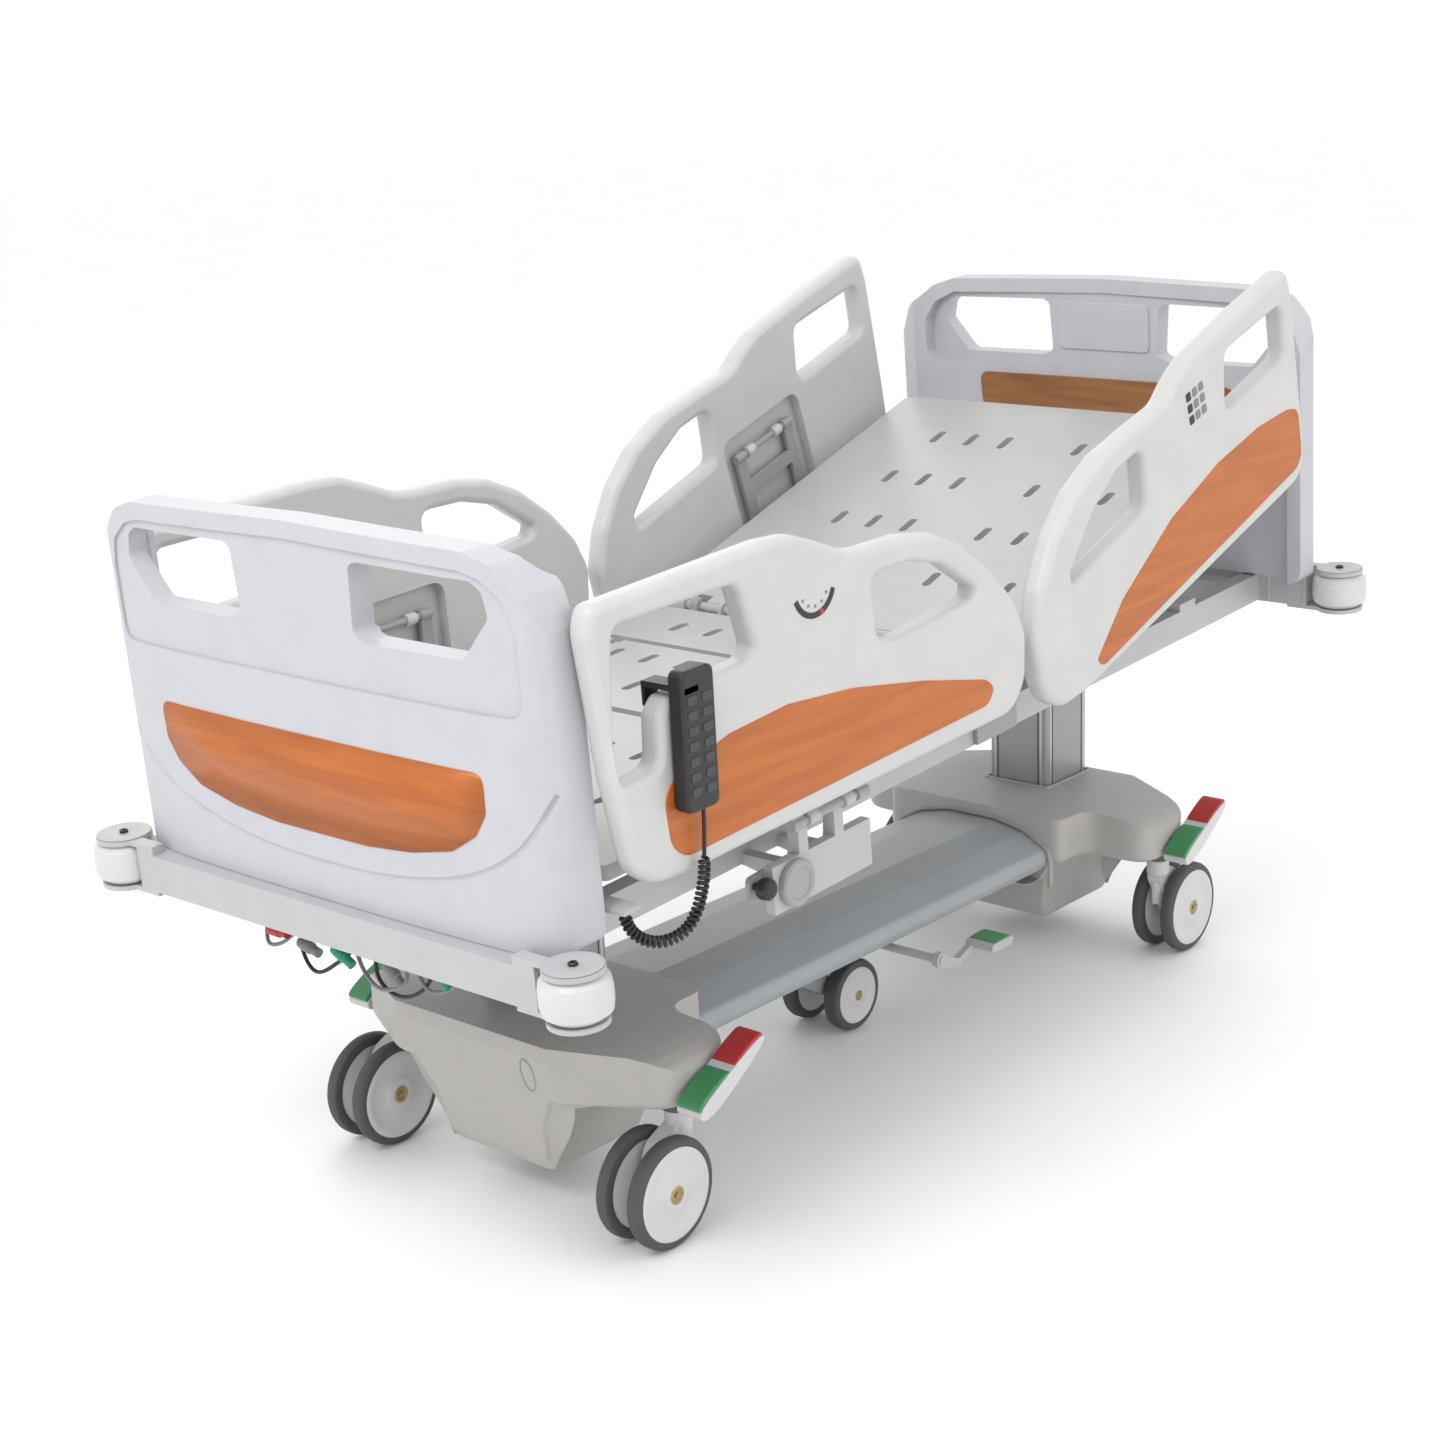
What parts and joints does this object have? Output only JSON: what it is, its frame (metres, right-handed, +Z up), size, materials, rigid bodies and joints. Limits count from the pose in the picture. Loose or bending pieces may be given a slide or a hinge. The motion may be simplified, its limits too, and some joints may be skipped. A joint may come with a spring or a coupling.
{
  "type": "adjustable hospital bed",
  "caption": "Wheeled hospital bed with lifting columns, tilting frame, hinged mattress platform, fold-down side rails, lift-off end boards and a corded handset.",
  "frame": {"origin": "on the floor, midway between the castors across the bed and along its length", "axes": "+X to the head end, +Y to the right of someone lying in the bed, +Z up"},
  "size_m": [2.1052, 1.01, 1.2337],
  "materials": {
    "painted_frame": "satin light grey powder coat",
    "base_paint": "satin dark grey powder coat",
    "grey_cover": "fine-grained warm grey moulded plastic",
    "beam_cover": "silver grey moulded plastic",
    "board_shell": "light cool grey blow-moulded plastic",
    "board_print": "orange wood-grain laminate",
    "rail_shell": "off-white moulded plastic",
    "rail_print": "orange wood-grain laminate",
    "column": "anodised grey extrusion",
    "castor_body": "white moulded plastic",
    "castor_wheel": "grey non-marking tread on white discs",
    "steel": "bright plated steel",
    "linkage": "light grey painted steel",
    "pedal": "green and red ribbed pedal pads",
    "black_plastic": "black moulded plastic",
    "platform": "white powder-coated sheet",
    "cord_rubber": "black cord sheath"
  },
  "bodies": {
    "base": {"base_frame": "base_paint", "base_beam_cover": "beam_cover", "base_cover_head": "grey_cover", "base_cover_foot": "grey_cover", "head_column_lower": "column", "foot_column_lower": "column"},
    "head_column_middle": {"head_column_middle": "column"},
    "head_column_top": {"head_column_top": "column"},
    "foot_column_middle": {"foot_column_middle": "column"},
    "foot_column_top": {"foot_column_top": "column"},
    "steer_arm": {"steer_arm": "linkage"},
    "steer_wheels": {"steer_wheels": "castor_wheel"},
    "steer_pedal": {"steer_pedal": "pedal"},
    "bed_frame": {"bed_frame": "painted_frame", "head_end_beam": "painted_frame", "foot_end_beam": "painted_frame", "seat_section": "platform", "control_box": "black_plastic", "actuator_bodies": "black_plastic"},
    "back_carriage": {"back_carriage": "linkage"},
    "back_section": {"back_section": "platform"},
    "thigh_section": {"thigh_section": "platform"},
    "leg_section": {"leg_section": "platform"},
    "back_actuator_rod": {"back_actuator_rod": "steel"},
    "knee_actuator_rod": {"knee_actuator_rod": "steel"},
    "headboard": {"headboard": "board_shell", "headboard_panel": "board_print"},
    "footboard": {"footboard": "board_shell", "footboard_panel": "board_print"},
    "arms_foot_left": {"arms_foot_left": "linkage"},
    "rail_foot_left": {"rail_foot_left": "rail_shell", "insert_foot_left": "rail_print", "handset": "black_plastic", "handset_cord_lead": "cord_rubber", "handset_cord_coil": "cord_rubber"},
    "arms_foot_right": {"arms_foot_right": "linkage"},
    "rail_foot_right": {"rail_foot_right": "rail_shell", "insert_foot_right": "rail_print"},
    "arms_head_left": {"arms_head_left": "linkage"},
    "rail_head_left": {"rail_head_left": "rail_shell", "insert_head_left": "rail_print"},
    "arms_head_right": {"arms_head_right": "linkage"},
    "rail_head_right": {"rail_head_right": "rail_shell", "insert_head_right": "rail_print"},
    "castor_fork_foot_left": {"castor_fork_foot_left": "castor_body"},
    "castor_wheels_foot_left": {"castor_wheels_foot_left": "castor_wheel"},
    "brake_pedal_foot_left": {"brake_pedal_foot_left": "pedal"},
    "bumper_foot_left": {"bumper_foot_left": "castor_body"},
    "castor_fork_foot_right": {"castor_fork_foot_right": "castor_body"},
    "castor_wheels_foot_right": {"castor_wheels_foot_right": "castor_wheel"},
    "brake_pedal_foot_right": {"brake_pedal_foot_right": "pedal"},
    "bumper_foot_right": {"bumper_foot_right": "castor_body"},
    "castor_fork_head_left": {"castor_fork_head_left": "castor_body"},
    "castor_wheels_head_left": {"castor_wheels_head_left": "castor_wheel"},
    "brake_pedal_head_left": {"brake_pedal_head_left": "pedal"},
    "bumper_head_left": {"bumper_head_left": "castor_body"},
    "castor_fork_head_right": {"castor_fork_head_right": "castor_body"},
    "castor_wheels_head_right": {"castor_wheels_head_right": "castor_wheel"},
    "brake_pedal_head_right": {"brake_pedal_head_right": "pedal"},
    "bumper_head_right": {"bumper_head_right": "castor_body"}
  },
  "joints": [
    {"name": "bed_height", "type": "slide", "parent": "base", "child": "head_column_middle", "axis": [0, 0, 1], "range_m": [-0.1, 0.13]},
    {"name": "foot_lift", "type": "slide", "parent": "base", "child": "foot_column_middle", "axis": [0, 0, 1], "range_m": [-0.1, 0.13]},
    {"name": "head_end_lift", "type": "slide", "parent": "head_column_middle", "child": "head_column_top", "axis": [0, 0, 1], "range_m": [-0.1, 0.067]},
    {"name": "foot_end_lift", "type": "slide", "parent": "foot_column_middle", "child": "foot_column_top", "axis": [0, 0, 1], "range_m": [-0.067, 0.1]},
    {"name": "bed_tilt", "type": "hinge", "parent": "head_column_top", "child": "bed_frame", "pos_m": [0.7, 0, 0.62352], "axis": [0, -1, 0], "range_deg": [-8.6, 5.7]},
    {"name": "back_retract", "type": "slide", "parent": "bed_frame", "child": "back_carriage", "axis": [0.9981, 0, 0.061], "range_m": [-0.02628, 0.07864]},
    {"name": "backrest", "type": "hinge", "parent": "back_carriage", "child": "back_section", "pos_m": [0.09812, 0, 0.69191], "axis": [0, -1, 0], "range_deg": [-15, 45]},
    {"name": "back_push", "type": "slide", "parent": "bed_frame", "child": "back_actuator_rod", "axis": [0.9981, 0, 0.061], "range_m": [-0.04068, 0.12184]},
    {"name": "knee_break", "type": "hinge", "parent": "bed_frame", "child": "thigh_section", "pos_m": [-0.1377, 0, 0.66546], "axis": [0, 1, 0], "range_deg": [0, 30]},
    {"name": "leg_drop", "type": "hinge", "parent": "thigh_section", "child": "leg_section", "pos_m": [-0.41396, 0, 0.62853], "axis": [0, 1, 0], "range_deg": [-45, 0]},
    {"name": "knee_push", "type": "slide", "parent": "bed_frame", "child": "knee_actuator_rod", "axis": [-0.9981, 0, -0.061], "range_m": [0, 0.0308]},
    {"name": "footboard_lift", "type": "slide", "parent": "bed_frame", "child": "footboard", "axis": [-0.061, 0, 0.9981], "range_m": [0, 0.25]},
    {"name": "headboard_lift", "type": "slide", "parent": "bed_frame", "child": "headboard", "axis": [-0.061, 0, 0.9981], "range_m": [0, 0.25]},
    {"name": "rail_swing_foot_left", "type": "hinge", "parent": "bed_frame", "child": "arms_foot_left", "pos_m": [-0.48304, -0.437, 0.61128], "axis": [0.9981, 0, 0.061], "range_deg": [0, 160]},
    {"name": "rail_level_foot_left", "type": "hinge", "parent": "arms_foot_left", "child": "rail_foot_left", "pos_m": [-0.4922, -0.437, 0.761], "axis": [0.9981, 0, 0.061], "range_deg": [-160, 0]},
    {"name": "rail_swing_foot_right", "type": "hinge", "parent": "bed_frame", "child": "arms_foot_right", "pos_m": [-0.48304, 0.437, 0.61128], "axis": [-0.9981, 0, -0.061], "range_deg": [0, 160]},
    {"name": "rail_level_foot_right", "type": "hinge", "parent": "arms_foot_right", "child": "rail_foot_right", "pos_m": [-0.4922, 0.437, 0.761], "axis": [-0.9981, 0, -0.061], "range_deg": [-160, 0]},
    {"name": "rail_swing_head_left", "type": "hinge", "parent": "back_section", "child": "arms_head_left", "pos_m": [0.49014, -0.437, 0.7809], "axis": [0.9483, 0, 0.3173], "range_deg": [0, 160]},
    {"name": "rail_level_head_left", "type": "hinge", "parent": "arms_head_left", "child": "rail_head_left", "pos_m": [0.44255, -0.437, 0.92315], "axis": [0.9483, 0, 0.3173], "range_deg": [-160, 0]},
    {"name": "rail_swing_head_right", "type": "hinge", "parent": "back_section", "child": "arms_head_right", "pos_m": [0.49014, 0.437, 0.7809], "axis": [-0.9483, 0, -0.3173], "range_deg": [0, 160]},
    {"name": "rail_level_head_right", "type": "hinge", "parent": "arms_head_right", "child": "rail_head_right", "pos_m": [0.44255, 0.437, 0.92315], "axis": [-0.9483, 0, -0.3173], "range_deg": [-160, 0]},
    {"name": "castor_swivel_foot_left", "type": "hinge", "parent": "base", "child": "castor_fork_foot_left", "pos_m": [-0.655, -0.287, 0.18], "axis": [0, 0, 1], "continuous": true},
    {"name": "castor_roll_foot_left", "type": "hinge", "parent": "castor_fork_foot_left", "child": "castor_wheels_foot_left", "pos_m": [-0.711, -0.287, 0.0825], "axis": [0, 1, 0], "continuous": true},
    {"name": "brake_link_foot_left", "type": "hinge", "parent": "base", "child": "brake_pedal_foot_left", "pos_m": [-0.655, -0.33, 0.222], "axis": [0, -1, 0], "range_deg": [-12, 12]},
    {"name": "bumper_spin_foot_left", "type": "hinge", "parent": "bed_frame", "child": "bumper_foot_left", "pos_m": [-1.01407, -0.457, 0.51368], "axis": [-0.061, 0, 0.9981], "continuous": true},
    {"name": "castor_swivel_foot_right", "type": "hinge", "parent": "base", "child": "castor_fork_foot_right", "pos_m": [-0.655, 0.287, 0.18], "axis": [0, 0, 1], "continuous": true},
    {"name": "castor_roll_foot_right", "type": "hinge", "parent": "castor_fork_foot_right", "child": "castor_wheels_foot_right", "pos_m": [-0.711, 0.287, 0.0825], "axis": [0, 1, 0], "continuous": true},
    {"name": "brake_link_foot_right", "type": "hinge", "parent": "base", "child": "brake_pedal_foot_right", "pos_m": [-0.655, 0.33, 0.222], "axis": [0, -1, 0], "range_deg": [-12, 12]},
    {"name": "bumper_spin_foot_right", "type": "hinge", "parent": "bed_frame", "child": "bumper_foot_right", "pos_m": [-1.01407, 0.457, 0.51368], "axis": [-0.061, 0, 0.9981], "continuous": true},
    {"name": "castor_swivel_head_left", "type": "hinge", "parent": "base", "child": "castor_fork_head_left", "pos_m": [0.655, -0.287, 0.18], "axis": [0, 0, 1], "continuous": true},
    {"name": "castor_roll_head_left", "type": "hinge", "parent": "castor_fork_head_left", "child": "castor_wheels_head_left", "pos_m": [0.711, -0.287, 0.0825], "axis": [0, 1, 0], "continuous": true},
    {"name": "brake", "type": "hinge", "parent": "base", "child": "brake_pedal_head_left", "pos_m": [0.655, -0.33, 0.222], "axis": [0, -1, 0], "range_deg": [-12, 12]},
    {"name": "bumper_spin_head_left", "type": "hinge", "parent": "bed_frame", "child": "bumper_head_left", "pos_m": [0.99418, -0.457, 0.63651], "axis": [-0.061, 0, 0.9981], "continuous": true},
    {"name": "castor_swivel_head_right", "type": "hinge", "parent": "base", "child": "castor_fork_head_right", "pos_m": [0.655, 0.287, 0.18], "axis": [0, 0, 1], "continuous": true},
    {"name": "castor_roll_head_right", "type": "hinge", "parent": "castor_fork_head_right", "child": "castor_wheels_head_right", "pos_m": [0.711, 0.287, 0.0825], "axis": [0, 1, 0], "continuous": true},
    {"name": "brake_link_head_right", "type": "hinge", "parent": "base", "child": "brake_pedal_head_right", "pos_m": [0.655, 0.33, 0.222], "axis": [0, -1, 0], "range_deg": [-12, 12]},
    {"name": "bumper_spin_head_right", "type": "hinge", "parent": "bed_frame", "child": "bumper_head_right", "pos_m": [0.99418, 0.457, 0.63651], "axis": [-0.061, 0, 0.9981], "continuous": true},
    {"name": "steer_wheel_lift", "type": "hinge", "parent": "base", "child": "steer_arm", "pos_m": [-0.095, 0, 0.15], "axis": [0, -1, 0], "range_deg": [0, 8]},
    {"name": "steer_wheel_roll", "type": "hinge", "parent": "steer_arm", "child": "steer_wheels", "pos_m": [0.055, 0, 0.0645], "axis": [0, 1, 0], "continuous": true},
    {"name": "steer_pedal_tread", "type": "hinge", "parent": "base", "child": "steer_pedal", "pos_m": [0.057, -0.1, 0.167], "axis": [0, -1, 0], "range_deg": [0, 12]}
  ],
  "couplings": [
    {"joint": "foot_lift", "follows": "bed_height", "ratio": 1},
    {"joint": "head_end_lift", "follows": "bed_tilt", "m_per_rad": 0.66},
    {"joint": "foot_end_lift", "follows": "bed_tilt", "m_per_rad": -0.66},
    {"joint": "back_retract", "follows": "backrest", "m_per_rad": 0.1},
    {"joint": "back_push", "follows": "backrest", "m_per_rad": 0.155},
    {"joint": "leg_drop", "follows": "knee_break", "ratio": -1.5},
    {"joint": "knee_push", "follows": "knee_break", "m_per_rad": 0.0585},
    {"joint": "rail_level_foot_left", "follows": "rail_swing_foot_left", "ratio": -1},
    {"joint": "rail_level_foot_right", "follows": "rail_swing_foot_right", "ratio": -1},
    {"joint": "rail_level_head_left", "follows": "rail_swing_head_left", "ratio": -1},
    {"joint": "rail_level_head_right", "follows": "rail_swing_head_right", "ratio": -1},
    {"joint": "brake_link_foot_left", "follows": "brake", "ratio": 1},
    {"joint": "brake_link_foot_right", "follows": "brake", "ratio": 1},
    {"joint": "brake_link_head_right", "follows": "brake", "ratio": 1},
    {"joint": "steer_pedal_tread", "follows": "steer_wheel_lift", "ratio": 1.5}
  ]
}
